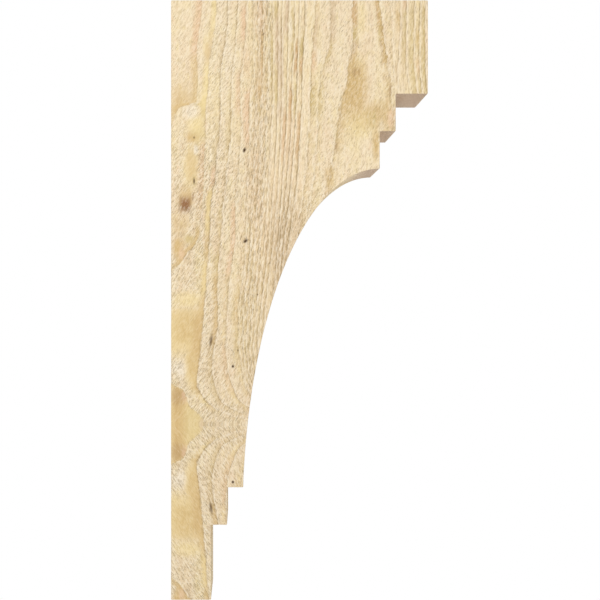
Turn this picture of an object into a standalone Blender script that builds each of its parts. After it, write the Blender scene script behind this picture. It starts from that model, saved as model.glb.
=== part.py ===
"""Timber corbel bracket, sawn as one profile from a single thick fir plank.

The flat wall face stands on the plane x = 0, with the origin at its middle. The bracket reaches
out along +X, is as thick as the plank along Y, and its top, which carries the load, faces +Z.
Under the top, two square steps lead into a long elliptical cove, and two more lead down from it
to a narrow leg against the wall. Lengths are in metres.
"""

import math

import bpy

INCH = 0.0254

# The plank that the bracket is sawn from
HEIGHT = 28 * INCH
PROJECTION = 12 * INCH
THICKNESS = 3.5 * INCH

# The nose under the top, and the square steps above and below the cove
NOSE_HEIGHT = 4.375 * INCH
NOSE_OVERHANG = 1.5 * INCH
STEP_RISE = 1.75 * INCH
STEP_RUN = 0.75 * INCH

# The leg against the wall, under the lowest step
LEG_HEIGHT = 3.5 * INCH
LEG_DEPTH = 1.875 * INCH

# The cove is part of an ellipse with its centre straight below the lip, this far below the foot
COVE_CENTRE_BELOW_FOOT = 1.375 * INCH
COVE_SEGMENTS = 56

# The sawn edges are barely broken
ARRIS = 0.03 * INCH
ARRIS_SEGMENTS = 2
ARRIS_LEAST_ANGLE = math.radians(40)

WELD_DISTANCE = 1e-5

FIR_COLOUR = (0.79, 0.62, 0.38, 1.0)
FIR_ROUGHNESS = 0.85


def remove_everything():
    for old in list(bpy.data.objects):
        bpy.data.objects.remove(old)


def fir():
    """Pale, dry, rough-sawn fir."""
    material = bpy.data.materials.new("fir")
    material.use_nodes = True
    shader = material.node_tree.nodes["Principled BSDF"]
    shader.inputs["Base Color"].default_value = FIR_COLOUR
    shader.inputs["Roughness"].default_value = FIR_ROUGHNESS
    shader.inputs["Metallic"].default_value = 0.0
    return material


def cove(lip, foot):
    """Points of the cove from its lip, where it starts level, down to its foot, nearly upright."""
    centre_x = lip[0]
    centre_z = foot[1] - COVE_CENTRE_BELOW_FOOT
    half_height = lip[1] - centre_z
    foot_share = COVE_CENTRE_BELOW_FOOT / half_height
    half_width = (lip[0] - foot[0]) / math.sqrt(1 - foot_share**2)
    end_angle = math.acos(foot_share)
    points = []
    for i in range(COVE_SEGMENTS + 1):
        angle = end_angle * i / COVE_SEGMENTS
        points.append((centre_x - half_width * math.sin(angle), centre_z + half_height * math.cos(angle)))
    return points


def outline():
    """The sawn profile as (x, z) points, from the top of the wall face round to its bottom."""
    top = HEIGHT / 2
    bottom = -HEIGHT / 2
    nose_bottom = top - NOSE_HEIGHT
    upper_step = nose_bottom - STEP_RISE
    lip = (PROJECTION - NOSE_OVERHANG - STEP_RUN, upper_step - STEP_RISE)
    leg_top = bottom + LEG_HEIGHT
    foot = (LEG_DEPTH + 2 * STEP_RUN, leg_top + STEP_RISE)

    nose = [(0, top), (PROJECTION, top), (PROJECTION, nose_bottom)]
    upper_steps = [
        (PROJECTION - NOSE_OVERHANG, nose_bottom),
        (PROJECTION - NOSE_OVERHANG, upper_step),
        (lip[0], upper_step),
    ]
    lower_steps = [
        (LEG_DEPTH + STEP_RUN, foot[1]),
        (LEG_DEPTH + STEP_RUN, leg_top),
        (LEG_DEPTH, leg_top),
    ]
    leg = [(LEG_DEPTH, bottom), (0, bottom)]
    return nose + upper_steps + cove(lip, foot) + lower_steps + leg


def sawn_plank(name, points):
    """A flat outline extruded to the plank's thickness and stood upright, with its edges broken."""
    curve = bpy.data.curves.new(name, "CURVE")
    curve.dimensions = "2D"
    curve.fill_mode = "BOTH"
    curve.extrude = THICKNESS / 2
    spline = curve.splines.new("POLY")
    spline.points.add(len(points) - 1)
    for point, (x, z) in zip(spline.points, points):
        point.co = (x, z, 0, 1)
    spline.use_cyclic_u = True

    plank = bpy.data.objects.new(name, curve)
    plank.rotation_euler = (math.radians(90), 0, 0)

    weld = plank.modifiers.new("join the caps", "WELD")
    weld.merge_threshold = WELD_DISTANCE
    bevel = plank.modifiers.new("broken edges", "BEVEL")
    bevel.width = ARRIS
    bevel.segments = ARRIS_SEGMENTS
    bevel.limit_method = "ANGLE"
    bevel.angle_limit = ARRIS_LEAST_ANGLE
    return plank


def main():
    remove_everything()
    bracket = bpy.data.collections.new("corbel bracket")
    bpy.context.scene.collection.children.link(bracket)
    corbel = sawn_plank("corbel", outline())
    corbel.data.materials.append(fir())
    bracket.objects.link(corbel)


main()
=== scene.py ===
"""Dresses a fir corbel bracket: one thick plank, sawn to a profile and left rough from the saw.

The plank's figure is worked out for the whole log, so that the growth rings run on from its broad
sides over the sawn edges and the end grain. Places on the broad side that shows are given in
inches, out from the wall face and down from the top, as on a template.
"""

import math
from functools import partial, reduce
from typing import NamedTuple

import bpy
import numpy as np
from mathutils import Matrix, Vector, noise
from mathutils.geometry import delaunay_2d_cdt


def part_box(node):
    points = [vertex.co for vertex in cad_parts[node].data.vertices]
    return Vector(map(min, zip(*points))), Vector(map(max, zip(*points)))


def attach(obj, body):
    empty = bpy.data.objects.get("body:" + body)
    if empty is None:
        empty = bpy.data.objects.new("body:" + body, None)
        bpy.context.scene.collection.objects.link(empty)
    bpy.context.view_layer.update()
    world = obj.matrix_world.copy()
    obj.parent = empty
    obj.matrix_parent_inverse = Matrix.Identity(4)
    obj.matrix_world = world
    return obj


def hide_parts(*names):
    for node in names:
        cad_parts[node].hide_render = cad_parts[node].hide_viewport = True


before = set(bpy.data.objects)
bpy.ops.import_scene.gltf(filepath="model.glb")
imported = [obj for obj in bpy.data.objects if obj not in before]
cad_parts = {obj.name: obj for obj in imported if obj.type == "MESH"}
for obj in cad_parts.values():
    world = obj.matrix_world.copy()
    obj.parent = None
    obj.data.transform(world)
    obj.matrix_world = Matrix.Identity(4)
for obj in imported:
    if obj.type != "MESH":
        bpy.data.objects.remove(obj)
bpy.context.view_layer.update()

bl_info = {
    "name": "Timber Corbel",
    "version": (1, 0, 0),
    "blender": (4, 5, 0),
    "location": "View3D > Sidebar > Corbel",
    "description": "Dresses a sawn fir corbel bracket and sets it up in a studio",
    "category": "Object",
}

INCH = 0.0254
MM = 0.001
PLANK_LOW, PLANK_HIGH = (Vector(corner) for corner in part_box("corbel"))


def paint(red, green, blue):
    """A colour as picked on a screen, 0 to 255, in the linear values that shaders use."""
    shares = [channel / 255 for channel in (red, green, blue)]
    return tuple(s / 12.92 if s <= 0.04045 else ((s + 0.055) / 1.055) ** 2.4 for s in shares)


def number(name, description, default, unit="NONE"):
    return bpy.props.FloatProperty(name=name, description=description, default=default, unit=unit)


def length(name, description, default):
    return number(name, description, default, "LENGTH")


def colour(name, description, default):
    return bpy.props.FloatVectorProperty(
        name=name, description=description, default=default, subtype="COLOR", min=0.0, max=1.0
    )


class CorbelProfile(bpy.types.PropertyGroup):
    """The sawn outline, as the plank in the frame has it."""

    nose_height: length("Nose Height", "Height of the block under the top", 4.375 * INCH)
    nose_overhang: length("Nose Overhang", "How far the nose stands out over the first step", 1.5 * INCH)
    step_rise: length("Step Rise", "Height of each square step", 1.75 * INCH)
    step_run: length("Step Run", "Depth of each square step", 0.75 * INCH)
    leg_height: length("Leg Height", "Height of the leg under the lowest step", 3.5 * INCH)
    leg_depth: length("Leg Depth", "Depth of the leg against the wall", 1.875 * INCH)
    cove_centre: length("Cove Centre", "Drop from the cove's foot to its ellipse's centre", 1.375 * INCH)
    arris: length("Arris", "Radius of the barely broken edges", 0.03 * INCH)


class CorbelSurface(bpy.types.PropertyGroup):
    """The saw's and the grain's relief, and how finely it is modelled."""

    across_grain: length("Spacing Across", "Distance between points across the grain", 1.3 * MM)
    along_grain: length("Spacing Along", "Distance between points along the grain", 2.9 * MM)
    through_plank: length("Spacing Through", "Distance between points across the sawn edges", 2.5 * MM)
    groove_depth: length("Groove Depth", "How deep the soft wood lies between the growth lines", 0.16 * MM)
    saw_depth: length("Saw Mark Depth", "Depth of the saw's marks across the grain", 0.07 * MM)
    torn_depth: length("Torn Depth", "Depth of the torn fibres", 0.2 * MM)


class CorbelColours(bpy.types.PropertyGroup):
    """Colours of dry, unfinished fir."""

    early: colour("Early Wood", "Pale wood between the growth lines", paint(241, 221, 186))
    late: colour("Late Wood", "Tan wood just inside a growth line", paint(228, 201, 150))
    line: colour("Growth Line", "The dark edge of a ring", paint(176, 148, 102))
    amber: colour("Amber", "Resinous wood round the domes of the figure", paint(214, 182, 126))
    olive: colour("Olive", "Greenish resin stains", paint(212, 188, 134))
    straw: colour("Straw", "Yellow wood beside the amber", paint(239, 216, 159))
    rose: colour("Rose", "Pink streaks", paint(234, 200, 162))
    shade: colour("Shade", "Greyish wood among the fine lines", paint(218, 192, 158))
    rust: colour("Rust", "Rust-brown late wood", paint(214, 176, 128))
    # Also laid at half strength as the painted highlight on the crest past each growth line
    pale: colour("Pale", "Almost white wood", paint(246, 232, 208))
    heart: colour("Knot Heart", "The dark middle of the knot", paint(152, 108, 72))
    # Partly the pitch's own colour and partly painted shade inside the pin holes and streaks
    pitch: colour("Pitch", "Pin holes and pitch streaks", paint(92, 68, 44))
    # Painted shade: the dark laid into the hollows between the torn fibres
    hollow_shade: colour("Hollow", "The dark between torn fibres", paint(152, 128, 86))
    # Painted highlight: the light colour laid on the tips of the torn fibres
    fibre_highlight: colour("Fibre", "Torn fibres that catch the light", paint(255, 244, 222))
    # End grain's own darker, redder colour, tinted pinkish in part as painted shade to match the shaded
    # undersides
    end: colour("End Grain", "Wood sawn across the grain", paint(196, 169, 151))


class CorbelStudio(bpy.types.PropertyGroup):
    """The camera, the floor and the lights."""

    camera_distance: length("Camera Distance", "From the plank's near side to the camera", 1.209)
    camera_out: length("Camera Out", "How far out from the wall face the camera looks", 0.0842)
    lens: number("Lens", "Focal length in millimetres", 61.2, "CAMERA")
    shift: number("Shift", "Sideways shift of the lens", 0.0967)
    floor_drop: length("Floor Drop", "From the foot of the leg down to the floor", 0.26)
    floor_radius: length("Floor Radius", "Radius of the round floor", 0.78)
    surround: number("Surround", "Light from all round", 0.62)
    key_power: number("Key", "Power of the main light", 16.0, "POWER")
    fill_power: number("Fill", "Power of the low light", 11.5, "POWER")
    back_power: number("Back", "Power of the light behind", 20.0, "POWER")


class RingLook(NamedTuple):
    """How a ring looks: its line's darkness, its late wood's, how torn it is and how its fibres lean.

    How far its line strays is in millimetres, and also sets how soft the line is.
    """

    ring: float
    line: float
    late: float
    torn: float
    lean: float
    astray: float


class Band(NamedTuple):
    """Late wood of another colour just inside a growth line, between two heights in inches."""

    ring: int
    top: float
    bottom: float
    strength: float


class Stain(NamedTuple):
    """A patch of another colour, by its middle and its reach each way in inches.

    A higher power makes it squarer, and it keeps to the rings from the first to the last.
    """

    out: float
    down: float
    to_wall: float
    to_nose: float
    up: float
    low: float
    strength: float
    power: float = 2.0
    first_ring: float = -99.0
    last_ring: float = 99.0


class Pit(NamedTuple):
    """A pin hole or pitch streak: its middle, width and length in inches, lean in degrees, depth in mm."""

    out: float
    down: float
    width: float
    length: float
    lean: float
    depth: float


# The whorl: above and below this height the figure runs away from it alike
WHORL_DOWN = 19.8

# Each growth line followed down the broad side, by its ring, as (down, out) in inches
GROWTH_LINES = {
    0: ((0, -0.75), (20, -0.75)),
    1: (
        (0, 1.47), (0.5, 1.45), (1.2, 1.35), (2.1, 1.24), (2.8, 1.2), (3.6, 1.26), (4.4, 1.22), (4.7, 1.21),
        (4.84, 1.18), (4.88, 1.0), (4.91, 0.53), (4.98, 0.42), (5.1, 0.3), (5.3, 0.2), (5.65, 0.1),
        (6.2, -0.1), (8, -0.4), (20, -0.4),
    ),
    2: (
        (0, 2.12), (0.9, 2.1), (1.4, 2.03), (2.0, 1.94), (2.9, 1.79), (3.5, 1.75), (4.4, 1.72), (4.9, 1.63),
        (5.4, 1.6), (6.3, 1.62), (6.9, 1.59), (7.5, 1.55), (8.9, 1.53), (9.4, 1.47), (9.8, 1.42),
        (11.0, 1.34), (11.35, 1.18), (11.6, 0.98), (11.8, 0.75), (12.0, 0.6), (12.3, 0.43), (12.5, 0.2),
        (12.75, 0.03), (13.2, -0.13), (14.5, -0.2), (17.3, -0.2), (17.8, -0.1), (18.0, 0.1), (18.2, 0.55),
        (18.5, 0.72), (18.8, 0.78), (19.0, 0.88), (19.2, 1.15), (19.4, 1.36), (19.6, 1.48), (19.83, 1.52),
    ),
    3: (
        (0, 2.66), (0.8, 2.64), (1.35, 2.62), (2.0, 2.53), (2.6, 2.42), (3.0, 2.32), (3.5, 2.28),
        (5.8, 2.28), (6.5, 2.22), (7.7, 2.1), (8.3, 2.07), (8.8, 1.95), (9.3, 1.86), (11.0, 1.79),
        (11.7, 1.77), (12.3, 1.71), (13.1, 1.66), (13.9, 1.6), (14.9, 1.5), (15.9, 1.41), (16.4, 1.36),
        (17.0, 1.28), (17.7, 1.21), (18.15, 1.24), (18.35, 1.35), (18.6, 1.56), (18.8, 1.73), (19.0, 1.91),
        (19.2, 2.2), (19.35, 2.6), (19.5, 3.15), (19.65, 3.7), (19.83, 4.2),
    ),
    4: (
        (0, 3.13), (1.4, 3.03), (2.0, 3.0), (3.0, 2.87), (3.7, 2.81), (5.1, 2.8), (6.1, 2.78), (6.6, 2.77),
        (7.7, 2.62), (8.4, 2.54), (9.8, 2.4), (11.2, 2.31), (12.5, 2.19), (13.3, 2.16), (15.2, 2.19),
        (15.9, 2.05), (16.3, 1.96), (17.0, 1.91), (17.5, 1.91), (17.9, 1.98), (18.15, 2.1), (18.5, 2.18),
        (18.7, 2.28), (18.85, 2.45), (19.0, 2.65), (19.15, 2.95), (19.3, 3.35), (19.5, 3.9), (19.83, 5.3),
    ),
    5: (
        (0, 3.55), (0.6, 3.5), (1.6, 3.47), (2.15, 3.42), (2.6, 3.36), (3.4, 3.26), (4.0, 3.21),
        (4.7, 3.21), (5.8, 3.29), (7.2, 3.2), (8.6, 3.02), (9.3, 3.0), (10.7, 3.02), (11.4, 2.99),
        (12.0, 2.87), (12.6, 2.75), (13.3, 2.68), (14.9, 2.59), (15.9, 2.54), (16.6, 2.57), (17.3, 2.61),
        (17.7, 2.71), (18.2, 2.92), (18.45, 3.02), (18.7, 3.15), (18.85, 3.32), (19.0, 3.6), (19.15, 4.0),
        (19.3, 4.5), (19.83, 6.2),
    ),
    6: (
        (0, 3.83), (2.3, 3.84), (3.5, 3.83), (4.3, 3.7), (4.9, 3.66), (6.8, 3.65), (7.7, 3.59), (9.3, 3.52),
        (11.9, 3.45), (12.6, 3.38), (14.0, 3.17), (14.7, 3.12), (16.3, 3.15), (17.0, 3.24), (17.6, 3.36),
        (18.1, 3.52), (18.5, 3.75), (19.0, 4.4), (19.83, 7.2),
    ),
    10: (
        (0, 4.73), (2.3, 4.76), (4.9, 4.71), (8.2, 4.55), (11.7, 4.3), (14.0, 4.0), (16.3, 3.8),
        (17.6, 3.95), (18.6, 4.8), (19.83, 8.0),
    ),
    11: (
        (0, 5.0), (3.5, 4.98), (6.5, 4.9), (8.2, 4.8), (9.3, 4.7), (11.7, 4.5), (14.0, 4.2), (16.3, 4.0),
        (17.6, 4.15), (18.6, 5.0), (19.83, 8.2),
    ),
    12: (
        (0, 5.2), (0.6, 5.15), (4.7, 5.16), (6.5, 5.09), (9.3, 4.93), (11.7, 4.7), (14.0, 4.4), (16.3, 4.2),
        (17.6, 4.4), (19.83, 8.6),
    ),
    13: (
        (0, 5.51), (1.0, 5.46), (2.8, 5.44), (3.6, 5.4), (4.4, 5.41), (6.3, 5.34), (8.4, 5.18),
        (10.5, 5.05), (12.8, 4.85), (14.5, 4.7), (17.0, 4.6), (19.83, 9.2),
    ),
    14: (
        (0, 5.75), (1.9, 5.75), (2.6, 5.71), (3.2, 5.63), (4.7, 5.65), (6.5, 5.56), (9.3, 5.3),
        (11.7, 5.05), (14.0, 4.95), (17.0, 4.8), (19.83, 9.4),
    ),
    15: (
        (0, 5.98), (1.4, 5.96), (1.9, 5.91), (3.2, 5.89), (4.5, 5.86), (6.5, 5.75), (9.3, 5.5), (11.7, 5.2),
        (14.0, 5.1), (17.0, 5.0), (19.83, 9.6),
    ),
    16: (
        (0, 6.26), (1.4, 6.24), (2.0, 6.19), (2.6, 6.16), (3.3, 6.12), (4.7, 6.11), (6.5, 6.0), (7.9, 5.9),
        (9.3, 5.76), (11.7, 5.4), (14.0, 5.25), (17.0, 5.2), (19.83, 9.8),
    ),
    17: (
        (0, 6.74), (0.9, 6.7), (1.4, 6.65), (2.6, 6.6), (3.3, 6.54), (4.3, 6.52), (5.4, 6.5), (6.5, 6.43),
        (7.7, 6.35), (9.1, 6.2), (11.7, 5.85), (19.83, 10.3),
    ),
    18: (
        (0, 7.44), (0.9, 7.44), (1.5, 7.47), (2.0, 7.42), (2.4, 7.33), (2.8, 7.19), (3.2, 7.07), (3.6, 7.0),
        (4.1, 6.94), (4.7, 6.89), (6.5, 6.87), (7.2, 6.81), (7.9, 6.74), (8.6, 6.65), (9.3, 6.53),
        (11.7, 6.2), (19.83, 10.8),
    ),
    19: (
        (0, 8.45), (1.2, 8.47), (2.1, 8.49), (2.4, 8.45), (2.7, 8.33), (3.3, 8.26), (4.0, 8.17),
        (4.3, 8.07), (4.8, 7.91), (5.15, 7.86), (5.5, 7.84), (5.9, 7.77), (6.5, 7.68), (6.9, 7.65),
        (7.6, 7.49), (8.4, 7.33), (9.15, 7.09), (11.7, 6.8), (19.83, 11.3),
    ),
    20: (
        (0, 9.73), (0.9, 9.85), (1.8, 9.94), (2.4, 10.06), (3.0, 10.15), (3.5, 10.22), (4.0, 10.29),
        (4.6, 10.31), (5.2, 10.4), (6.1, 10.47), (19.83, 12.0),
    ),
    22: ((0, 10.7), (1.2, 10.69), (2.1, 10.63), (2.7, 10.6), (3.2, 10.53), (4.5, 10.55), (19.83, 12.6)),
    23: ((0, 11.0), (1.8, 10.96), (2.7, 10.94), (3.4, 10.99), (3.75, 11.06), (19.83, 13.0)),
    24: ((0, 11.37), (1.2, 11.33), (2.8, 11.31), (3.3, 11.36), (4.3, 11.48), (19.83, 13.4)),
    25: ((0, 11.62), (1.3, 11.59), (2.5, 11.56), (3.5, 11.62), (4.4, 11.72), (19.83, 13.8)),
    26: ((0, 11.86), (2.6, 11.87), (3.5, 11.89), (4.4, 11.97), (19.83, 14.2)),
    32: ((0, 13.5), (19.83, 16.0)),
}

RING_LOOKS = (
    RingLook(-9, 0.7, 0.5, 0.8, 0.2, 0.5),
    RingLook(0, 0.0, 0.2, 0.85, 1.0, 0.5),
    RingLook(0.9, 0.35, 0.5, 0.85, 1.0, 0.5),
    RingLook(2, 0.4, 0.3, 1.1, 1.0, 0.6),
    RingLook(3, 0.8, 0.3, 1.15, 0.9, 0.7),
    RingLook(4, 0.85, 0.3, 1.15, 0.8, 0.7),
    RingLook(5, 0.75, 0.3, 1.1, 0.6, 0.7),
    RingLook(6, 0.55, 0.3, 1.2, 0.4, 0.7),
    RingLook(7, 0.5, 0.4, 1.3, 0.3, 0.8),
    RingLook(9.5, 0.6, 0.4, 1.3, 0.2, 0.7),
    RingLook(10, 0.6, 0.3, 0.8, 0.1, 0.5),
    RingLook(11, 1.0, 0.3, 0.6, 0.1, 0.3),
    RingLook(16, 1.0, 0.3, 0.7, 0.1, 0.3),
    RingLook(17, 0.7, 0.4, 0.8, 0.6, 0.7),
    RingLook(18, 0.5, 0.4, 0.95, 0.5, 1.0),
    RingLook(18.6, 0.3, 0.2, 0.95, 0.6, 1.0),
    RingLook(19, 0.5, 0.3, 0.95, 0.6, 1.1),
    RingLook(19.5, 0.3, 0.2, 0.8, 0.5, 1.1),
    RingLook(20, 0.5, 0.5, 1.0, 0.6, 1.2),
    RingLook(21, 0.3, 0.3, 0.9, 0.5, 0.6),
    RingLook(22, 0.7, 0.3, 0.7, 0.2, 0.3),
    RingLook(30, 0.9, 0.3, 0.7, 0.0, 0.3),
)

# Between these rings the wood grew towards the wall, so the late wood is on the nose side of each line
TURNED_RINGS = (16.5, 19.5)

# Rows of a Band's and of a Stain's values by their colours, which are laid over each other in this order
BANDS = {
    "straw": (
        (2, -1.0, 1.9, 0.7), (2, 2.9, 5.4, 1.0), (3, 3.4, 5.4, 0.35), (3, 8.8, 10.9, 0.85),
        (3, 12.2, 13.8, 1.0), (3, 18.3, 19.0, 0.6), (5, 17.8, 18.8, 0.6),
    ),
    "amber": (
        (1, 2.6, 5.4, 0.45), (2, 1.6, 2.9, 0.45), (2, 10.6, 12.4, 0.8), (2, 18.0, 20.0, 0.5),
        (3, 1.6, 2.8, 0.45), (3, 8.8, 10.8, 0.25), (3, 10.8, 12.1, 0.6), (3, 12.1, 13.8, 0.3),
        (3, 13.8, 18.3, 0.9), (4, 12.8, 16.2, 0.7), (6, 13.5, 15.1, 0.45), (19, 2.5, 7.0, 0.4),
        (20, -1.0, 3.1, 0.85), (20, 3.8, 4.7, 0.4), (22, 0.4, 1.3, 0.6), (25, 1.3, 2.2, 0.9),
    ),
    "olive": (
        (2, 4.6, 6.7, 0.4), (3, 5.4, 7.8, 0.3), (4, 4.2, 7.3, 0.3), (4, 9.5, 10.8, 0.4),
        (4, 11.8, 12.8, 0.7), (4, 16.5, 18.6, 0.2), (6, 15.2, 16.8, 0.35), (10, 1.5, 4.0, 0.8),
        (11, 0.1, 1.0, 0.9), (11, 3.2, 4.8, 1.0), (14, 0.4, 2.9, 0.7), (15, 4.0, 5.4, 0.7),
        (16, 1.6, 2.9, 1.0), (17, 4.0, 5.4, 1.0), (18, 1.9, 3.0, 0.6), (18, 4.0, 5.2, 0.6),
        (19, 1.2, 2.0, 1.0), (23, 0.4, 3.0, 0.6), (24, 0.3, 4.5, 0.7), (25, 3.4, 4.5, 0.7),
        (26, 0.3, 4.5, 0.9),
    ),
    "rose": (
        (1, -1.0, 2.6, 0.8), (2, 6.7, 9.5, 0.7), (3, 7.8, 8.7, 1.0), (5, 16.0, 18.3, 0.5),
        (5, 0.3, 1.9, 1.0), (5, 3.4, 5.3, 0.7), (5, 9.5, 12.8, 0.9), (6, 4.2, 6.8, 0.9),
        (17, 2.3, 3.3, 0.8), (23, -1.0, 0.4, 0.8), (25, 2.7, 3.5, 0.9),
    ),
    "shade": (
        (11, 0.8, 3.0, 0.9), (13, -1.0, 1.6, 0.9), (17, 0.6, 2.4, 0.7), (18, -1.0, 1.9, 0.6),
        (19, 1.9, 2.7, 0.8),
    ),
    "rust": (
        (8, -1.0, 4.5, 0.6), (13, 5.2, 7.5, 0.8), (14, 4.0, 5.6, 1.0), (15, 1.9, 3.4, 1.0),
        (16, 2.7, 3.4, 1.0), (16, 5.2, 7.4, 0.8), (19, -1.0, 1.2, 0.75),
    ),
}

STAINS = {
    "straw": (
        (1.2, 5.75, 0.75, 0.5, 0.6, 1.4, 0.8, 2.0, 1.0, 2.0),
        (1.62, 2.1, 0.2, 0.22, 0.8, 0.8, 0.6, 2.0, 1.0, 2.0),
        (1.5, 4.9, 0.22, 0.2, 0.9, 0.6, 0.7, 2.0, 1.0, 2.0), (0.9, 7.7, 0.6, 0.5, 1.4, 1.8, 0.6),
        (0.8, 14.0, 1.0, 0.9, 0.6, 0.6, 0.8, 3.0, 2.0, 3.0),
        (0.6, 15.4, 1.4, 1.4, 1.6, 1.8, 1.0, 4.0, 2.0, 3.0),
        (0.95, 17.0, 0.5, 0.42, 1.6, 1.6, 1.0, 2.0, 2.0, 3.0),
        (0.8, 19.8, 3.0, 3.0, 3.0, 3.0, 1.0, 4.0, -99, 2.0), (11.5, 2.5, 0.7, 0.5, 2.4, 2.4, 0.3),
        (8.9, 0.9, 0.3, 0.3, 1.4, 1.2, 0.6, 2.0, 19.0), (8.85, 3.2, 0.4, 0.4, 1.1, 1.0, 0.5, 2.0, 19.0),
        (9.0, 5.7, 1.1, 0.7, 0.9, 1.1, 0.8, 2.0, 19.0),
    ),
    "amber": (
        (0.4, 4.9, 0.7, 1.0, 1.5, 0.7, 0.7, 2.0, -99, 1.02),
        (1.7, 2.4, 0.2, 0.2, 0.6, 0.7, 0.7, 2.0, 1.0, 2.0),
        (1.0, 6.45, 0.45, 0.45, 0.35, 0.3, 1.0, 3.0, 1.0, 2.0), (1.0, 7.7, 0.5, 0.4, 1.3, 1.7, 0.6),
        (0.75, 9.3, 0.7, 0.45, 1.0, 0.65, 0.85), (0.3, 11.5, 0.3, 0.5, 0.7, 1.0, 1.0, 2.0, -99, 2.0),
        (0.4, 10.4, 0.5, 0.7, 0.9, 1.0, 0.5), (1.0, 16.9, 0.45, 0.4, 1.4, 1.5, 0.8, 2.0, 2.0, 3.0),
        (0.8, 15.2, 1.2, 0.8, 1.1, 1.6, 0.75, 4.0, 2.0, 3.0),
        (1.25, 15.4, 0.6, 0.6, 1.5, 2.6, 1.0, 3.0, 2.0, 3.0),
        (0.3, 19.8, 0.5, 0.7, 4.0, 1.0, 1.0, 3.0, -99, 2.0), (4.2, 3.5, 0.6, 0.5, 2.6, 2.4, 0.35),
        (5.0, 12.4, 0.9, 1.8, 4.4, 4.4, 0.25, 3.0), (4.27, 1.65, 0.1, 0.1, 0.2, 0.3, 1.0),
        (8.55, 3.6, 0.4, 0.55, 1.6, 2.2, 0.9, 2.0, 19.0), (8.6, 4.0, 1.1, 0.85, 1.8, 2.6, 1.0, 2.5, 19.0),
        (9.6, 5.3, 1.2, 1.1, 0.9, 1.1, 0.8, 3.0, 19.0), (9.56, 6.7, 0.22, 0.25, 1.0, 1.1, 0.9, 3.0),
        (7.4, 8.2, 0.3, 0.32, 0.8, 0.9, 0.8),
    ),
    "olive": (
        (1.45, 5.2, 0.2, 0.2, 0.5, 0.5, 0.4), (1.08, 8.4, 0.14, 0.12, 0.45, 0.4, 0.9),
        (1.15, 6.3, 0.5, 0.5, 0.4, 0.4, 0.45, 2.0, 1.0, 2.0), (0.5, 10.4, 0.12, 0.12, 0.15, 0.15, 0.7),
        (0.87, 10.5, 0.1, 0.08, 0.12, 0.14, 0.7), (0.85, 11.15, 0.4, 0.36, 0.3, 0.34, 1.0, 3.0),
        (0.7, 12.9, 0.9, 0.8, 1.2, 1.1, 0.12, 2.0, 2.0, 3.0),
        (1.15, 19.8, 0.8, 2.0, 1.6, 0.5, 0.55, 2.0, -99, 2.0), (9.3, 5.6, 0.35, 0.25, 0.7, 0.6, 0.5),
        (9.5, 5.55, 0.12, 0.1, 0.65, 0.6, 1.0, 3.0),
    ),
    "rose": (
        (0.5, 11.85, 0.22, 0.28, 0.45, 0.5, 0.8), (0.66, 18.4, 0.26, 0.22, 0.3, 0.6, 1.0, 2.0, -99, 2.0),
        (1.14, 1.68, 0.12, 0.12, 0.28, 0.25, 1.0, 3.0), (3.5, 2.9, 0.3, 0.25, 1.3, 0.9, 0.5),
        (3.45, 5.5, 0.2, 0.2, 1.3, 1.1, 0.6), (4.2, 0.6, 0.5, 0.45, 1.5, 1.8, 0.6),
        (5.5, 6.5, 0.5, 0.4, 2.0, 2.5, 0.5), (3.9, 8.5, 0.6, 0.6, 2.6, 3.0, 0.35),
        (10.3, 5.5, 0.3, 0.25, 0.7, 0.7, 1.0),
    ),
    "shade": (
        (1.5, 19.8, 0.3, 0.3, 0.5, 0.4, 0.8, 2.0, -99, 2.0),
        (1.95, 19.8, 0.6, 0.7, 0.8, 0.5, 0.4, 2.0, 2.0), (5.1, 2.8, 0.28, 0.25, 2.8, 2.2, 1.0, 4.0),
        (5.1, 12.4, 0.8, 1.8, 4.6, 4.4, 0.75, 3.0), (5.12, 5.1, 0.2, 0.22, 0.9, 0.9, 0.8),
        # A broad faint patch that makes the broad side darker towards the bottom
        (3.4, 17.0, 3.5, 3.0, 7.0, 9.0, 0.2),
    ),
    "pale": (
        (0.95, 5.25, 0.65, 0.5, 0.6, 0.5, 0.7, 2.0, 1.0), (1.15, 6.97, 0.14, 0.18, 0.3, 0.36, 1.0, 3.0),
        (0.4, 17.2, 0.5, 0.5, 0.6, 0.65, 0.8, 2.0, 2.0), (2.5, 2.8, 1.3, 1.0, 3.2, 3.8, 0.3),
        (6.9, 2.6, 0.2, 0.2, 0.5, 0.6, 0.6), (5.6, 1.4, 0.15, 0.12, 0.8, 0.8, 0.7),
        (6.35, 2.3, 0.18, 0.2, 1.2, 1.2, 0.5), (9.82, 5.75, 0.16, 0.16, 0.26, 0.36, 0.4),
    ),
    "heart": (
        (0.68, 9.56, 0.42, 0.38, 0.54, 0.5, 1.0, 8.0), (1.02, 9.2, 0.1, 0.1, 0.3, 0.3, 0.6, 3.0),
        (0.3, 18.5, 0.5, 0.6, 0.7, 0.7, 0.32, 2.0, -99, 2.0), (8.58, 3.35, 0.14, 0.12, 0.28, 0.35, 0.4),
        (8.78, 3.38, 0.1, 0.08, 0.35, 0.24, 0.4), (10.25, 4.25, 0.1, 0.08, 0.4, 0.38, 0.5),
        (7.7, 6.85, 0.1, 0.1, 0.32, 0.3, 0.35),
    ),
}

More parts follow.
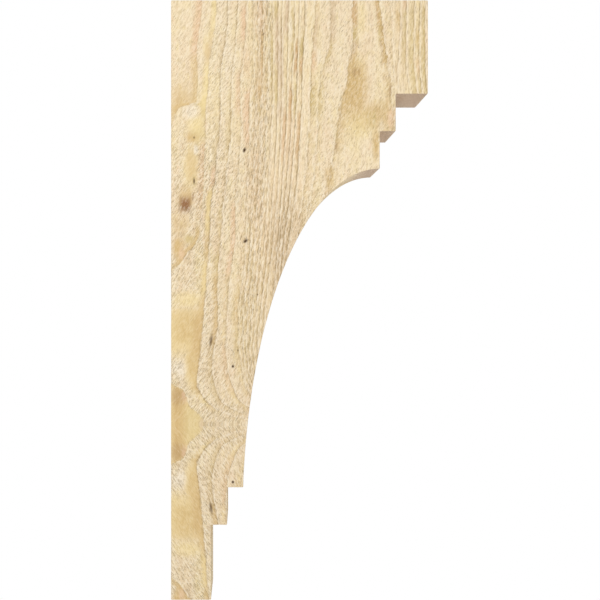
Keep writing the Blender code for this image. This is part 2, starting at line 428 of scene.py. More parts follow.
PITS = (
    Pit(3.43, 7.0, 0.13, 0.22, -20, 2.2),
    Pit(3.48, 11.25, 0.13, 0.24, -55, 2.2),
    Pit(2.89, 17.1, 0.12, 0.12, 0, 2.0),
    Pit(1.87, 15.9, 0.13, 0.6, -9, 0.75),
    Pit(1.08, 8.45, 0.09, 0.3, 0, 0.8),
    Pit(1.08, 6.42, 0.09, 0.1, 0, 0.6),
    Pit(4.3, 1.6, 0.07, 0.16, -35, 0.6),
    Pit(3.12, 16.35, 0.06, 0.1, 0, 0.7),
    Pit(4.04, 13.75, 0.06, 0.08, 0, 0.7),
    Pit(4.62, 12.28, 0.05, 0.09, 0, 0.6),
    Pit(8.75, 2.2, 0.05, 0.06, 0, 0.6),
)

# The log: where its pith lies from the wall face and from the plank's middle, the width of the rings inside
# the near side's first one, and the widest one on that side
PITH_OUT = -0.12
PITH_BEHIND = 0.10
RING_WIDTH = 5.0 * MM
WIDEST_RING = 40.0 * MM

# The softening of the growth lines' routes: stations down to the whorl, its spread in them and the least gap
ROUTE_STATIONS = 800
ROUTE_SPREAD = 2
ROUTE_GAP = 0.1 * MM

# The rings waver by this much, in lumps of these sizes, each with its seed
WAVER = 0.3 * MM
WAVER_LUMPS = (((9 * MM, 0.05, 0.02), 11.0), ((0.03, 0.08, 0.07), 23.0))

# Late wood covers this share of a ring, and reaches no further than this from its growth line
LATE_SHARE = 0.85
LATE_REACH = 8.5 * MM

# Which part of the rings next to its growth line a band covers, and the inches over which its ends fade
BAND_REACH = (-0.9, 0.25)
TURNED_BAND_REACH = (-0.25, 0.9)
BAND_FADING = 0.3

# Where a stain starts to fade and ends, by share of its reach, and what is left of it from the middle of the
# plank's thickness on
STAIN_FADING = (0.2, 1.0)
STAIN_BEHIND = 0.35

# Where the look changes, as the start and end of each change: in inches out, in inches down, or in rings
NEAR_WALL_OUT = (4.0, 6.0)
UPPER_DOWN = (9.0, 13.0)
CLEAR_OF_WHORL_DOWN = (18.8, 19.6)
BELLY_DOWN, BELLY_RINGS = (8.5, 10.5), (9.6, 11.0)
CALM_DOWN, CALM_RINGS = (5.5, 7.5), (4.5, 7.5)

# What is left there of the growth lines, the late wood and the torn fibre
LOWER_LINE, WHORL_LINE = 0.9, 0.2
LOWER_LATE, WHORL_LATE = 1.9, 0.5
LOWER_TORN = 0.88

# The relief: a growth line's groove, the lumps of torn fibre and of broad unevenness, and the saw's marks
GROOVE_REACH = 1.2 * MM
FIBRE_LUMP = (1.6 * MM, 1.6 * MM, 6 * MM)
BROAD_LUMP = (7 * MM, 9 * MM, 30 * MM)
BROAD_DEPTH = 0.15 * MM
SAW_PITCH = 3.4 * MM

# The mesh: an outer corner's rounding in arrises, the cove's pieces, the share of a spacing left clear
# inside the outline, how much two lengths may differ, and how near to each other points are joined
CORNER_ROUNDING = 1.3
COVE_PIECES = 400
MARGIN = 0.6
MICRON = 1e-6
WELD = 1e-7

# Pits, by share of the way to the rim: the slope and the dark, which is partly the pitch's own colour and
# partly painted shade in the hole, then the rings of points round it, each with its number of points, how
# much is cleared for them, and a place that is well outside
PIT_SLOPE, PIT_DARK = (0.2, 1.15), (0.6, 1.25)
PIT_RINGS = ((0.45, 7), (0.9, 10), (1.5, 12))
PIT_CLEARING = 1.9
FAR_FROM_PIT = 9

# Where the three lights stand, and the side of each one's square, in metres
KEY_PLACE = (-0.9, -1.6, 1.1)
FILL_PLACE = (1.2, -1.3, -0.9)
BACK_PLACE = (-0.6, 1.7, 1.2)
LIGHT_SIZE = 0.9


def wander(points, size, seed):
    """Smooth noise from -1 to 1 at each point, in lumps of about the given size along each axis."""
    places = points / np.asarray(size) + seed
    return np.array([noise.noise(place) for place in places.tolist()])


def rise(low, high, values):
    """0 up to low, 1 from high on and an even S between them."""
    share = np.clip((values - low) / (high - low), 0, 1)
    return share * share * (3 - 2 * share)


def fall(low, high, values):
    """1 up to low, 0 from high on and an even S between them."""
    return rise(-high, -low, -values)


def eased(start, amount):
    """From the start value, where the amount is 0, to 1, where it is 1."""
    return start + (1 - start) * amount


def profile_runs(profile):
    """The outline as runs from corner to corner, clockwise from the top of the wall face, as (x, z)."""
    top, bottom, out = PLANK_HIGH.z, PLANK_LOW.z, PLANK_HIGH.x
    first_step = out - profile.nose_overhang
    nose_bottom = top - profile.nose_height
    upper_step = nose_bottom - profile.step_rise
    lip = (first_step - profile.step_run, upper_step - profile.step_rise)
    leg_top = bottom + profile.leg_height
    foot = (profile.leg_depth + 2 * profile.step_run, leg_top + profile.step_rise)
    lower_step = profile.leg_depth + profile.step_run

    upper = [(0, top), (out, top), (out, nose_bottom), (first_step, nose_bottom), (first_step, upper_step),
             (lip[0], upper_step), lip]
    lower = [foot, (lower_step, foot[1]), (lower_step, leg_top), (profile.leg_depth, leg_top),
             (profile.leg_depth, bottom), (0, bottom), (0, top)]
    upper_runs, lower_runs = (
        [np.array(pair, float) for pair in zip(corners, corners[1:])] for corners in (upper, lower)
    )
    return upper_runs + [cove(profile, lip, foot)] + lower_runs


def cove(profile, lip, foot):
    """The cove from its lip down to its foot, as part of an ellipse with its centre below the lip."""
    centre = np.array((lip[0], foot[1] - profile.cove_centre))
    half_height = lip[1] - centre[1]
    foot_share = profile.cove_centre / half_height
    half_width = (lip[0] - foot[0]) / math.sqrt(1 - foot_share**2)
    angles = np.linspace(0, math.acos(foot_share), COVE_PIECES + 1)
    return centre + np.column_stack((-half_width * np.sin(angles), half_height * np.cos(angles)))


def distances_along(run, unit=(1, 1)):
    """How far along the run each of its points lies, where each axis has its own unit of length."""
    steps = np.hypot(*(np.diff(run, axis=0) / unit).T)
    return np.concatenate(([0], np.cumsum(steps)))


def points_at(marks, distances, run):
    """The places at the given marks along a run whose own points lie at the given distances."""
    return np.column_stack([np.interp(marks, distances, run[:, axis]) for axis in (0, 1)])


def spaced(run, across, along):
    """The run with its points about one across spacing apart where it is level, one along where upright."""
    distances = distances_along(run, (across, along))
    count = max(2, round(distances[-1]))
    return points_at(np.linspace(0, distances[-1], count + 1), distances, run)


def trimmed(run, start, end):
    """The run without the given lengths at its two ends."""
    distances = distances_along(run)
    last = distances[-1] - end
    inside = distances[(distances > start) & (distances < last)]
    return points_at(np.concatenate(([start], inside, [last])), distances, run)


def direction(start, end):
    """The unit vector from the start to the end."""
    return (end - start) / np.linalg.norm(end - start)


def sawn_outline(profile, surface):
    """The whole outline as one closed row of points, with its outer corners slightly rounded."""
    runs = profile_runs(profile)
    rounding = CORNER_ROUNDING * profile.arris
    corners = [
        (direction(*before[-2:]), direction(*after[:2])) for before, after in zip(runs, runs[1:] + runs[:1])
    ]
    outer = [arriving[0] * leaving[1] - arriving[1] * leaving[0] < 0 for arriving, leaving in corners]
    outline = []
    for i, run in enumerate(runs):
        cut = trimmed(run, rounding * outer[i - 1], rounding * outer[i])
        points = spaced(cut, surface.across_grain, surface.along_grain)
        outline.extend(points if outer[i] else points[:-1])
        if outer[i]:
            arriving, leaving = corners[i]
            centre = run[-1] - rounding * arriving + rounding * leaving
            outline.append(centre + rounding * (arriving - leaving) / math.sqrt(2))
    return np.array(outline)


def mitres(outline):
    """At each point of the outline, the outward offset that moves both its sides out by one unit."""
    ahead = np.roll(outline, -1, axis=0) - outline
    ahead /= np.linalg.norm(ahead, axis=1, keepdims=True)
    both = ahead + np.roll(ahead, 1, axis=0)
    outward = np.column_stack((-both[:, 1], both[:, 0]))
    return 2 * outward / (outward**2).sum(axis=1, keepdims=True)


def edge_rows(surface, arris, thickness):
    """Rows over the sawn edge, front to back, as (y, inset, share of the way to a broad side)."""
    halfway = 1 - math.sqrt(0.5)
    front = [(0.0, arris, 1.0), (arris * halfway, arris * halfway, 0.5)]
    count = round((thickness - 2 * arris) / surface.through_plank)
    middle = [(y, 0.0, 0.0) for y in np.linspace(arris, thickness - arris, count + 1)]
    back = [(thickness - y, inset, side) for y, inset, side in reversed(front)]
    return front + middle + back


def inside_margin(points, outline, surface):
    """Which points lie inside the outline by a bit more than half a spacing."""
    aside, above = MARGIN * surface.across_grain, MARGIN * surface.along_grain
    keep = (points[:, 0] > aside) & (np.abs(points[:, 1]) < PLANK_HIGH.z - above)
    right = outline[np.argmax(outline[:, 0] > outline[:, 0].max() - MICRON):]
    right = right[: np.argmin(right[:, 1]) + 1]
    for shift in (-above, 0, above):
        reach = np.interp(-points[:, 1] + shift, -right[:, 1], right[:, 0])
        keep &= points[:, 0] < reach - aside
    return keep


def pit_places(pit):
    """The pit's middle as (x, z) and its lean, for itself and its twin on the other side of the whorl."""
    x = pit.out * INCH
    return [(x, PLANK_HIGH.z - pit.down * INCH, pit.lean),
            (x, PLANK_HIGH.z - (2 * WHORL_DOWN - pit.down) * INCH, -pit.lean)]


def pit_distance(points, pit, place):
    """Distance from the pit's middle, where 1 is its rim."""
    x, z, lean = place
    angle = math.radians(lean)
    dx, dz = points[:, 0] - x, points[:, 1] - z
    along = dz * math.cos(angle) - dx * math.sin(angle)
    across = dx * math.cos(angle) + dz * math.sin(angle)
    return np.hypot(across / (pit.width / 2 * INCH), along / (pit.length / 2 * INCH))


def pit_points(pit, place):
    """Extra points round a pit, so that its rim and floor are modelled."""
    x, z, lean = place
    angle = math.radians(lean)
    points = [(x, z)]
    for share, count in PIT_RINGS:
        for i in range(count):
            turn = 2 * math.pi * i / count
            across = share * pit.width / 2 * INCH * math.cos(turn)
            along = share * pit.length / 2 * INCH * math.sin(turn)
            points.append((x + across * math.cos(angle) - along * math.sin(angle),
                           z + along * math.cos(angle) + across * math.sin(angle)))
    return np.array(points)


def side_points(outline, surface, pits):
    """Points inside the outline in staggered rows, with more round the pits."""
    across, along = surface.across_grain, surface.along_grain
    rows = []
    for i, z in enumerate(np.arange(PLANK_LOW.z + along / 2, PLANK_HIGH.z, along)):
        xs = np.arange((0.25 + 0.5 * (i % 2)) * across, PLANK_HIGH.x, across)
        rows.append(np.column_stack((xs, np.full_like(xs, z))))
    points = np.concatenate(rows)
    points = points[inside_margin(points, outline, surface)]
    for pit in pits:
        for place in pit_places(pit):
            extra = pit_points(pit, place)
            extra = extra[inside_margin(extra, outline, surface)]
            points = np.concatenate((points[pit_distance(points, pit, place) > PIT_CLEARING], extra))
    return points


def encloses(outline, place):
    """Whether the place lies inside the closed outline."""
    start, end = outline, np.roll(outline, -1, axis=0)
    crossing = (start[:, 1] > place[1]) != (end[:, 1] > place[1])
    start, end = start[crossing], end[crossing]
    share = (place[1] - start[:, 1]) / (end[:, 1] - start[:, 1])
    return np.count_nonzero(start[:, 0] + share * (end[:, 0] - start[:, 0]) > place[0]) % 2 == 1


def joined_side(rim, inner, surface):
    """Triangles between the rim's points, numbered first, and the inner ones, anticlockwise in (x, z)."""
    points = np.concatenate((rim, inner)) / (surface.across_grain, surface.along_grain)
    count = len(rim)
    edges = [(i, (i + 1) % count) for i in range(count)]
    _, _, triangles, originals, _, _ = delaunay_2d_cdt([Vector(p) for p in points], edges, [], 0, WELD, True)
    faces = [tuple(originals[i][0] for i in triangle) for triangle in triangles]
    return [face for face in faces if max(face) >= count or encloses(rim, rim[list(face)].mean(axis=0))]


def routes_at(down):
    """Each growth line's place out from the wall at each of the given depths below the top, in metres."""
    stations = np.linspace(0, WHORL_DOWN, ROUTE_STATIONS)
    reach = 3 * ROUTE_SPREAD
    softening = np.exp(-0.5 * (np.arange(-reach, reach + 1) / ROUTE_SPREAD) ** 2)
    softening /= softening.sum()
    places = []
    for route in GROWTH_LINES.values():
        downs, outs = np.array(route).T
        route = np.interp(np.pad(stations, reach, mode="edge"), downs, outs)
        route = np.convolve(route, softening, mode="valid")
        places.append(np.interp(down, stations * INCH, route * INCH))
    apart = ROUTE_GAP * np.arange(len(places)).reshape(-1, *[1] * np.ndim(down))
    return np.maximum.accumulate(np.array(places) - apart, axis=0) + apart


def between_routes(places, values, out):
    """The value at each place out from the wall, running evenly from each route's value to the next's."""
    total = np.full_like(out, values[0], dtype=float)
    for start, end, low, high in zip(places, places[1:], values, values[1:]):
        total += (high - low) * np.clip((out - start) / (end - start), 0, 1)
    return total


def ring_at(out, down):
    """The ring at each place on the broad side, in whole rings and parts of one."""
    return between_routes(routes_at(down), list(GROWTH_LINES), out)


def stain_amount(stain, ring, out, down):
    """How strong the stain is at each place, which is given in inches."""
    across = np.where(out < stain.out, (stain.out - out) / stain.to_wall, (out - stain.out) / stain.to_nose)
    along = np.where(down < stain.down, (stain.down - down) / stain.up, (down - stain.down) / stain.low)
    distance = (across**stain.power + along**stain.power) ** (1 / stain.power)
    within = (ring >= stain.first_ring) & (ring <= stain.last_ring)
    return stain.strength * fall(*STAIN_FADING, distance) * within


def band_amount(band, ring, down):
    """How strong the band is at each place, whose depth is given in inches."""
    turned = TURNED_RINGS[0] < band.ring < TURNED_RINGS[1]
    low, high = TURNED_BAND_REACH if turned else BAND_REACH
    within = (ring > band.ring + low) & (ring < band.ring + high)
    starting = rise(band.top - BAND_FADING, band.top + BAND_FADING, down)
    ending = fall(band.bottom - BAND_FADING, band.bottom + BAND_FADING, down)
    return band.strength * (within * starting * ending)


class Figure:
    """Where each of a set of points of the plank lies among the rings, and what the wood is like there."""

    def __init__(self, points):
        self.points = points
        from_pith = np.hypot(points[:, 0] - PITH_OUT, points[:, 1] - PITH_BEHIND)
        front_drop = PITH_BEHIND - PLANK_LOW.y
        reach = np.sqrt(np.maximum(from_pith**2 - front_drop**2, PITH_OUT**2))

        # The rings that never reach the broad side lie inside, and count back from its first one
        self.inside = np.minimum(from_pith - math.hypot(PITH_OUT, front_drop), 0)
        self.out = np.where(self.inside < 0, 0, PITH_OUT + reach)
        fold = np.abs(points[:, 2] - (PLANK_HIGH.z - WHORL_DOWN * INCH))
        self.down = WHORL_DOWN * INCH - fold

        unwavered = np.column_stack((self.out + self.inside, points[:, 1], fold))
        for size, seed in WAVER_LUMPS:
            self.out = self.out + WAVER * wander(unwavered, size, seed)
        self.ring = ring_at(self.out, self.down) + self.inside / RING_WIDTH
        step = 0.5 * MM
        climbs = [ring_at(self.out + dx, self.down + dz) - ring_at(self.out - dx, self.down - dz)
                  for dx, dz in ((step, 0), (0, step))]
        steepest = np.where(self.inside < 0, 1 / RING_WIDTH, np.hypot(*climbs) / (2 * step))
        self.ring_width = 1 / np.maximum(steepest, 1 / WIDEST_RING)
        self.grain = np.column_stack((self.out + self.inside, points[:, 1], fold))

    def look(self, name):
        """One of the ring looks' values at each point."""
        rings, values = zip(*((look.ring, getattr(look, name)) for look in RING_LOOKS))
        return np.interp(self.ring, rings, values)

    def tints(self):
        """How much of each colour there is at each point, 0 to 1, in patches and in bands of late wood."""
        out, down = (self.out + self.inside) / INCH, self.down / INCH
        through = (self.points[:, 1] - PLANK_LOW.y) / (PLANK_HIGH.y - PLANK_LOW.y)
        shallow = eased(STAIN_BEHIND, fall(0.0, 0.5, through))
        patches = {
            tint: shallow * np.max([stain_amount(Stain(*row), self.ring, out, down) for row in rows], axis=0)
            for tint, rows in STAINS.items()
        }
        bands = {
            tint: np.max([band_amount(Band(*row), self.ring, down) for row in rows], axis=0)
            for tint, rows in BANDS.items()
        }
        return patches, bands


def pit_depths(points, sides):
    """How deep each point lies in a pit of the broad side that shows, in metres, and how dark it is.

    The dark is partly the pitch's own colour and partly painted shade in the hole, stronger the deeper the
    pit.
    """
    depth, dark = np.zeros(len(points)), np.zeros(len(points))
    on_front = (points[:, 1] < PLANK_LOW.y + 2 * MM) & (sides > 0.9)
    flat = points[:, (0, 2)]
    for pit in PITS:
        for place in pit_places(pit):
            distance = np.where(on_front, pit_distance(flat, pit, place), FAR_FROM_PIT)
            depth = np.maximum(depth, pit.depth * MM * fall(*PIT_SLOPE, distance))
            dark = np.maximum(dark, min(1, pit.depth) * fall(*PIT_DARK, distance))
    return depth, dark


def relief(figure, surface, torn, end):
    """How far the surface lies in from the true form at each point, in metres."""
    points = figure.points
    share = figure.ring % 1
    from_line = np.minimum(share, 1 - share) * figure.ring_width
    groove = np.exp(-((from_line / GROOVE_REACH) ** 2)) * figure.look("line")
    fibres = 0.5 + 0.5 * wander(figure.grain, FIBRE_LUMP, 5.0)
    lumps = 0.5 + 0.5 * wander(figure.grain, BROAD_LUMP, 31.0)
    cut = np.where(end > 0.3, points[:, 0], points[:, 2])
    saw = 0.5 + 0.5 * np.sin(2 * math.pi * cut / SAW_PITCH + 3 * wander(points, 0.03, 3.0))
    saw *= 0.5 + 0.5 * wander(points, (0.05, 0.05, 0.02), 17.0)
    depth = surface.groove_depth * groove + surface.torn_depth * torn * fibres
    depth += BROAD_DEPTH * lumps + surface.saw_depth * saw
    return np.maximum(depth, 0)


def plank_form(profile, surface):
    """The plank's points, their outward directions, how far each is turned to a broad side, and its faces.

    Last comes the length of the outline's longest mitre.
    """
    outline = sawn_outline(profile, surface)
    outward = mitres(outline)
    rows = edge_rows(surface, profile.arris, PLANK_HIGH.y - PLANK_LOW.y)
    count = len(outline)

    points, normals, sides = [], [], []
    for y, inset, side in rows:
        place = outline - inset * outward
        facing = -1 if y < rows[-1][0] / 2 else 1
        lying, standing = (1 - side) * outward, np.full(count, facing * side)
        normal = np.column_stack((lying[:, 0], standing, lying[:, 1]))
        points.append(np.column_stack((place[:, 0], np.full(count, PLANK_LOW.y + y), place[:, 1])))
        normals.append(normal / np.linalg.norm(normal, axis=1, keepdims=True))
        sides.append(np.full(count, side))

    faces = []
    for start in range(0, count * (len(rows) - 1), count):
        for i in range(count):
            j = (i + 1) % count
            faces.append((start + i, start + j, start + count + j, start + count + i))

    rim = points[0][:, (0, 2)]
    total = count * len(rows)
    for facing, y, base, pits in ((-1, PLANK_LOW.y, 0, PITS), (1, PLANK_HIGH.y, total - count, ())):
        inner = side_points(rim, surface, pits)
        points.append(np.column_stack((inner[:, 0], np.full(len(inner), y), inner[:, 1])))
        normals.append(np.tile((0.0, facing, 0.0), (len(inner), 1)))
        sides.append(np.ones(len(inner)))
        numbers = [*range(base, base + count), *range(total, total + len(inner))]
        for face in joined_side(rim, inner, surface):
            face = [numbers[i] for i in face]
            faces.append(face if facing < 0 else face[::-1])
        total += len(inner)
    longest = np.linalg.norm(outward, axis=1).max()
    return np.concatenate(points), np.concatenate(normals), np.concatenate(sides), faces, longest


def wood_values(figure, normals, sides):
    """What the relief and the material take from each point, by name."""
    patches, bands = figure.tints()
    out, down, ring = figure.out / INCH, figure.down / INCH, figure.ring
    near_wall = fall(*NEAR_WALL_OUT, out)
    upper = fall(*UPPER_DOWN, down)
    clear = fall(*CLEAR_OF_WHORL_DOWN, down)
    belly = rise(*BELLY_DOWN, down) * rise(*BELLY_RINGS, ring)
    calm = 0.3 * fall(*CALM_DOWN, down) * fall(*CALM_RINGS, ring)

    # Resin holds the fibres down, most of all near the wall
    late_reach = np.minimum(LATE_SHARE * figure.ring_width, LATE_REACH)
    late = fall(0.2, 0.8, (1 - ring % 1) * figure.ring_width / late_reach)
    resin = patches["amber"] + patches["olive"] + 0.9 * patches["straw"]
    resin += 0.8 * late * (bands["amber"] + bands["olive"] + bands["straw"])
    held = (0.1 + 0.6 * near_wall) * np.clip(resin, 0, 1)
    torn = figure.look("torn") * (1 - held) * (1 + 0.5 * belly) * eased(LOWER_TORN, upper) * (1 - calm)

    return {
        "ring": ring,
        "ring width": figure.ring_width / MM,
        "line": figure.look("line") * eased(LOWER_LINE, upper) * eased(WHORL_LINE, clear),
        "late": figure.look("late") * eased(LOWER_LATE, upper) * eased(WHORL_LATE, clear),
        "astray": figure.look("astray") * (1 + 1.2 * belly),
        "lean": figure.look("lean") * sides,
        "turned": (ring > TURNED_RINGS[0]) & (ring < TURNED_RINGS[1]),
        "torn": torn,
        # Faces across the grain, tops and undersides alike, whose end-grain tint is in part painted shade
        "end": rise(0.85, 1.0, np.abs(normals[:, 2])) * (1 - sides),
        **patches,
        **{tint + " band": amount for tint, amount in bands.items()},
    }


def timber_mesh(name, profile, surface):
    """The rough-sawn plank as one closed mesh, with what the wood is like stored at its points."""
    points, normals, sides, faces, longest = plank_form(profile, surface)
    figure = Figure(points)
    values = wood_values(figure, normals, sides)
    # The pits' dark: partly pitch, partly painted shade in the holes
    pit_depth, values["pitch"] = pit_depths(points, sides)
    depth = relief(figure, surface, values["torn"], values["end"]) + pit_depth

    # The longest mitres are in the inner corners of the steps, and all relief is eased by their length
    points = points - normals * depth[:, None] / longest
    mesh = bpy.data.meshes.new(name)
    mesh.from_pydata(points.tolist(), [], faces)
    for value_name, amount in values.items():
        attribute = mesh.attributes.new(value_name, "FLOAT", "POINT")
        attribute.data.foreach_set("value", np.asarray(amount, dtype=np.float32))
    grain = mesh.attributes.new("grain", "FLOAT_VECTOR", "POINT")
    grain.data.foreach_set("vector", figure.grain.ravel())
    mesh.validate()
    mesh.shade_smooth()
    return mesh


class Graph:
    """Adds nodes to a shader's tree and wires them up as they are made."""

    # The sockets that a mix node has for colours
    UNDER, OVER, MIXED = 6, 7, 2

    def __init__(self, tree):
        self.tree = tree

    def add(self, kind, inputs=(), **settings):
        node = self.tree.nodes.new(kind)
        for key, value in settings.items():
            setattr(node, key, value)
        for key, value in dict(inputs).items():
            if isinstance(value, bpy.types.NodeSocket):
                self.tree.links.new(value, node.inputs[key])
            else:
                node.inputs[key].default_value = value
        return node

    def stored(self, name):
        """A value stored at the mesh's points."""
        return self.add("ShaderNodeAttribute", attribute_name=name).outputs["Fac"]

    def math(self, operation, first, second=0.0):
        return self.add("ShaderNodeMath", {0: first, 1: second}, operation=operation).outputs["Value"]

    def total(self, *values):
        return reduce(partial(self.math, "ADD"), values)

    def product(self, *values):
        return reduce(partial(self.math, "MULTIPLY"), values)

    def between(self, value, low, high, to_low=0.0, to_high=1.0, smooth=False):
        """The value carried from one range over to another, and held at its ends."""
        kind = "SMOOTHSTEP" if smooth else "LINEAR"
        inputs = {"Value": value, "From Min": low, "From Max": high, "To Min": to_low, "To Max": to_high}
        return self.add("ShaderNodeMapRange", inputs, interpolation_type=kind).outputs["Result"]

    def swing(self, value, reach=1.0):
        """Noise stretched to run from -reach to reach."""
        return self.between(value, 0.3, 0.7, -reach, reach)

    def blend(self, first, second, amount):
        """The first value where the amount is 0 and the second where it is 1."""
        return self.total(first, self.product(self.math("SUBTRACT", second, first), amount))

    def mix(self, under, over, amount):
        """The colour under where the amount is 0 and the one over it where it is 1."""
        node = self.add("ShaderNodeMix", {"Factor": amount}, data_type="RGBA")
        for socket, value in ((node.inputs[self.UNDER], under), (node.inputs[self.OVER], over)):
            if isinstance(value, bpy.types.NodeSocket):
                self.tree.links.new(value, socket)
            else:
                socket.default_value = (*value, 1.0)
        return node.outputs[self.MIXED]

    def grain_noise(self, grain, size, lean=0.0, detail=1.0, seed=0.0):
        """Noise in the wood's own directions, in lumps of the size in mm, leaning by the degrees."""
        turned = self.add(
            "ShaderNodeVectorRotate", {"Vector": grain, "Angle": math.radians(lean)}, rotation_type="Y_AXIS"
        ).outputs["Vector"]
        scaled = self.add(
            "ShaderNodeVectorMath", {0: turned, 1: tuple(1 / (s * MM) for s in size)}, operation="MULTIPLY"
        ).outputs["Vector"]
        moved = self.add("ShaderNodeVectorMath", {0: scaled, 1: (seed, seed, seed)}, operation="ADD")
        inputs = {"Vector": moved.outputs["Vector"], "Scale": 1.0, "Detail": detail, "Roughness": 0.5}
        return self.add("ShaderNodeTexNoise", inputs).outputs["Fac"]


# Across the rings, in millimetres: how far a line's dark shades off before it, at its firmest and at its
# softest, and past it, and where the painted highlight of the pale crest past it starts, is palest and ends
LINE_FIRM, LINE_SOFT = 1.2, 2.8
LINE_PAST = (0.2, 0.9)
CREST_HIGHLIGHT_START, CREST_HIGHLIGHT_MIDDLE, CREST_HIGHLIGHT_END = 0.6, 1.1, 2.9

# The lines are firmest and softest where they stray this far, in millimetres
FIRM_ASTRAY, SOFT_ASTRAY = 0.3, 1.1


def ring_marks(graph, grain):
    """How much of a growth line, of late wood and of a line's pale crest, a painted highlight, there is,
    each 0 to 1.
    """
    width, turned, line = graph.stored("ring width"), graph.stored("turned"), graph.stored("line")
    waver = graph.swing(graph.grain_noise(grain, (4, 4, 12), seed=3.0))
    ragged = graph.swing(graph.grain_noise(grain, (1.8, 1.8, 4.5), seed=4.0), 0.7)
    astray = graph.product(graph.total(waver, ragged), graph.stored("astray"))
    ring = graph.total(graph.stored("ring"), graph.math("DIVIDE", astray, width))
    share = graph.math("FRACT", ring)
    left = graph.math("SUBTRACT", 1.0, share)
    to_line = graph.product(graph.blend(left, share, turned), width)
    past_line = graph.product(graph.blend(share, left, turned), width)

    soft = graph.between(graph.stored("astray"), FIRM_ASTRAY, SOFT_ASTRAY, LINE_FIRM, LINE_SOFT)
    before = graph.between(to_line, 0.0, soft, 1.0, 0.0, smooth=True)
    after = graph.between(past_line, *LINE_PAST, 1.0, 0.0)
    fading = graph.between(graph.grain_noise(grain, (4, 20, 30), detail=2.0, seed=9.0), 0.3, 0.6, 0.35, 1.0)
    lot = graph.add("ShaderNodeTexWhiteNoise", {"W": graph.math("FLOOR", ring)}, noise_dimensions="1D")
    lot = graph.between(lot.outputs["Value"], 0.0, 1.0, 0.6, 1.0)
    dark = graph.product(graph.math("MAXIMUM", before, after), line, fading, lot)

    late_reach = graph.math("MINIMUM", graph.product(width, LATE_SHARE), LATE_REACH / MM)
    late = graph.between(graph.math("DIVIDE", to_line, late_reach), 0.25, 1.0, 1.0, 0.0, smooth=True)
    # The pale crest just past each line is a painted highlight
    rising = graph.between(past_line, CREST_HIGHLIGHT_START, CREST_HIGHLIGHT_MIDDLE)
    falling = graph.between(past_line, CREST_HIGHLIGHT_MIDDLE, CREST_HIGHLIGHT_END, 1.0, 0.0)
    return dark, late, graph.product(rising, falling, line)


def wood_colour(graph, grain, colours, marks):
    """The sound wood's colour: rings, streaks, bands and stains, a painted highlight on each line's crest,
    and end grain, whose tint is in part painted shade.
    """
    line, late, crest_highlight = marks
    wood = graph.mix(colours.early, colours.late, graph.product(late, graph.stored("late")))
    for size, seed, plain, rosy in (((18, 30, 90), 21.0, 0.0, 0.35), ((5, 5, 14), 27.0, 0.05, 0.4)):
        streaks = graph.grain_noise(grain, size, detail=2.0, seed=seed)
        wood = graph.mix(wood, colours.rose, graph.between(streaks, 0.5 + plain, 0.75, 0.0, rosy))
        wood = graph.mix(wood, colours.straw, graph.between(streaks, 0.5 - plain, 0.25, 0.0, 0.5))

    patchy = graph.grain_noise(grain, (2.5, 2.5, 9), detail=2.0, seed=5.0)
    patchy = graph.between(patchy, 0.3, 0.6, 0.75, 1.0)
    for tint in BANDS:
        wood = graph.mix(wood, getattr(colours, tint), graph.product(graph.stored(tint + " band"), late))
    for tint in STAINS:
        amount = graph.stored(tint)
        if tint != "heart":
            amount = graph.product(amount, patchy)
        wood = graph.mix(wood, getattr(colours, tint), amount)
    # Painted highlight on the pale crest past each growth line
    wood = graph.mix(wood, colours.pale, graph.product(crest_highlight, 0.5))
    wood = graph.mix(wood, colours.line, graph.product(line, 0.85))
    # End grain: its own darker colour, in part painted shade on the sawn tops and undersides
    return graph.mix(wood, colours.end, graph.product(graph.stored("end"), 0.8))


def torn_fibres(graph, grain):
    """How high the torn fibres stand, from about -1 in their hollows to 1 at their tips."""
    leaning = graph.grain_noise(grain, (1.15, 1.15, 5), lean=-32.0, seed=13.0)
    upright = graph.grain_noise(grain, (1.15, 1.15, 6.5), lean=-8.0, seed=15.0)
    speckle = graph.grain_noise(grain, (1.3, 1.3, 1.6), seed=17.0)
    strokes = graph.swing(graph.blend(upright, leaning, graph.stored("lean")))
    fuzz = graph.total(graph.product(strokes, 0.8), graph.product(graph.swing(speckle), 0.18))
    return graph.product(fuzz, graph.stored("torn"))


def fir_material(colours):
    """Rough-sawn fir: rings, stains, torn fibres and pitch, with the fibres and lines raised and sunk.

    Its colour also holds painted shade in the fibres' hollows, painted highlights on their tips and on the
    crests past the lines, and in part painted shade in the pits and on the end grain.
    """
    material = bpy.data.materials.new("rough-sawn fir")
    material.use_nodes = True
    graph = Graph(material.node_tree)
    shader = material.node_tree.nodes["Principled BSDF"]
    grain = graph.add("ShaderNodeAttribute", attribute_name="grain").outputs["Vector"]
    marks = ring_marks(graph, grain)
    wood = wood_colour(graph, grain, colours, marks)
    height = torn_fibres(graph, grain)
    # Painted shade in the hollows between the torn fibres and painted highlight on their tips, on top of the
    # bump's own shading
    wood = graph.mix(wood, colours.hollow_shade, graph.between(height, -1.0, 0.0, 0.64, 0.0))
    wood = graph.mix(wood, colours.fibre_highlight, graph.between(height, 0.0, 0.8, 0.0, 0.5))
    # Dark of the pits: partly pitch, partly painted shade in the holes
    wood = graph.mix(wood, colours.pitch, graph.stored("pitch"))

    bump_height = graph.math("SUBTRACT", height, marks[0])
    bump = graph.add("ShaderNodeBump", {"Strength": 1.0, "Distance": 0.5 * MM, "Height": bump_height})
    material.node_tree.links.new(wood, shader.inputs["Base Color"])
    material.node_tree.links.new(bump.outputs["Normal"], shader.inputs["Normal"])
    shader.inputs["Roughness"].default_value = 0.85
    shader.inputs["Specular IOR Level"].default_value = 0.25
    return material


def linked(name, data):
    piece = bpy.data.objects.new(name, data)
    bpy.context.scene.collection.objects.link(piece)
    return piece


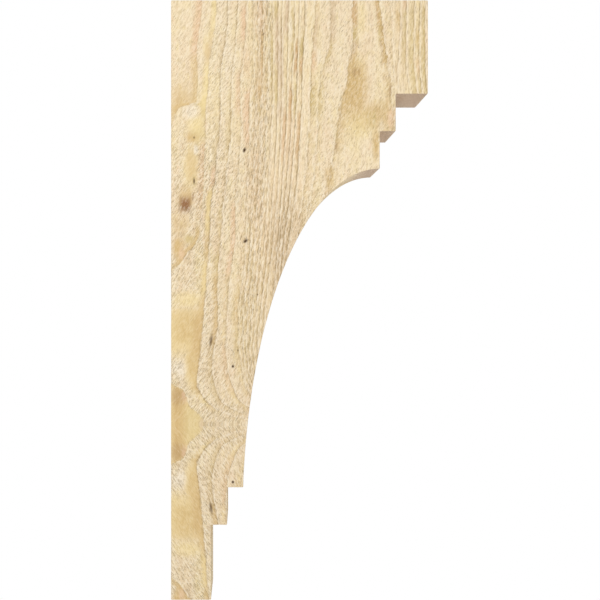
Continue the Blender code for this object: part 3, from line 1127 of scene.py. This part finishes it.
class CORBEL_OT_timber(bpy.types.Operator):
    """Saw the bracket's rough timber and colour it"""

    bl_idname = "corbel.timber"
    bl_label = "Rough-Sawn Timber"
    bl_options = {"REGISTER", "UNDO"}

    def execute(self, context):
        settings = context.scene
        mesh = timber_mesh("rough-sawn timber", settings.corbel_profile, settings.corbel_surface)
        mesh.materials.append(fir_material(settings.corbel_colours))
        timber = linked("rough_sawn_corbel", mesh)
        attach(timber, "root")
        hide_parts("corbel")
        return {"FINISHED"}


def area_light(name, place, target, power):
    light = bpy.data.lights.new(name, "AREA")
    light.shape = "SQUARE"
    light.size = LIGHT_SIZE
    light.energy = power
    lamp = linked(name, light)
    lamp.location = place
    lamp.rotation_euler = (Vector(target) - Vector(place)).to_track_quat("-Z", "Y").to_euler()


def white_world(surround):
    """A plain white background that lights the object more softly than it looks."""
    world = bpy.data.worlds.new("white surround")
    world.use_nodes = True
    graph = Graph(world.node_tree)
    backdrop = world.node_tree.nodes["Background"]
    backdrop.inputs["Color"].default_value = (1.0, 1.0, 1.0, 1.0)
    light = graph.add("ShaderNodeBackground", {"Color": (1.0, 1.0, 1.0, 1.0), "Strength": surround})
    seen = graph.add("ShaderNodeLightPath").outputs["Is Camera Ray"]
    mixed = graph.add("ShaderNodeMixShader", {0: seen, 1: light.outputs[0], 2: backdrop.outputs[0]})
    world.node_tree.links.new(mixed.outputs[0], world.node_tree.nodes["World Output"].inputs["Surface"])
    return world


def floor_material():
    material = bpy.data.materials.new("pale floor")
    material.use_nodes = True
    shader = material.node_tree.nodes["Principled BSDF"]
    shader.inputs["Base Color"].default_value = (*paint(240, 239, 236), 1.0)
    shader.inputs["Roughness"].default_value = 0.9
    return material


class CORBEL_OT_studio(bpy.types.Operator):
    """Set up the camera, the pale floor and the soft lights"""

    bl_idname = "corbel.studio"
    bl_label = "Studio"
    bl_options = {"REGISTER", "UNDO"}

    def execute(self, context):
        studio = context.scene.corbel_studio
        camera = bpy.data.cameras.new("camera")
        camera.lens = studio.lens
        camera.shift_x = studio.shift
        viewer = linked("camera", camera)
        viewer.location = (studio.camera_out, PLANK_LOW.y - studio.camera_distance, 0)
        viewer.rotation_euler = (math.radians(90), 0, 0)
        context.scene.camera = viewer

        bpy.ops.mesh.primitive_circle_add(
            vertices=96, radius=studio.floor_radius, fill_type="NGON",
            location=(PLANK_HIGH.x / 2, 0, PLANK_LOW.z - studio.floor_drop),
        )
        floor = context.object
        floor.name = "floor"
        floor.data.materials.append(floor_material())

        middle = (PLANK_HIGH.x / 2, 0, 0)
        area_light("key light", KEY_PLACE, middle, studio.key_power)
        area_light("fill light", FILL_PLACE, middle, studio.fill_power)
        area_light("back light", BACK_PLACE, middle, studio.back_power)
        context.scene.world = white_world(studio.surround)
        context.scene.view_settings.view_transform = "Standard"
        return {"FINISHED"}


class CORBEL_PT_panel(bpy.types.Panel):
    """Lists the bracket's operators and settings"""

    bl_idname = "CORBEL_PT_panel"
    bl_label = "Timber Corbel"
    bl_space_type = "VIEW_3D"
    bl_region_type = "UI"
    bl_category = "Corbel"

    def draw(self, context):
        layout = self.layout
        for operator in OPERATORS:
            layout.operator(operator.bl_idname)
        for name, group in SETTINGS.items():
            box = layout.box()
            box.label(text=group.__doc__)
            for prop in group.__annotations__:
                box.prop(getattr(context.scene, name), prop)


SETTINGS = {
    "corbel_profile": CorbelProfile,
    "corbel_surface": CorbelSurface,
    "corbel_colours": CorbelColours,
    "corbel_studio": CorbelStudio,
}
OPERATORS = (CORBEL_OT_timber, CORBEL_OT_studio)
CLASSES = (*SETTINGS.values(), *OPERATORS, CORBEL_PT_panel)


def register():
    for cls in CLASSES:
        bpy.utils.register_class(cls)
    for name, group in SETTINGS.items():
        setattr(bpy.types.Scene, name, bpy.props.PointerProperty(type=group))


def unregister():
    for name in SETTINGS:
        delattr(bpy.types.Scene, name)
    for cls in reversed(CLASSES):
        bpy.utils.unregister_class(cls)


def main():
    register()
    bpy.ops.corbel.studio()
    bpy.ops.corbel.timber()


if __name__ == "__main__":
    main()
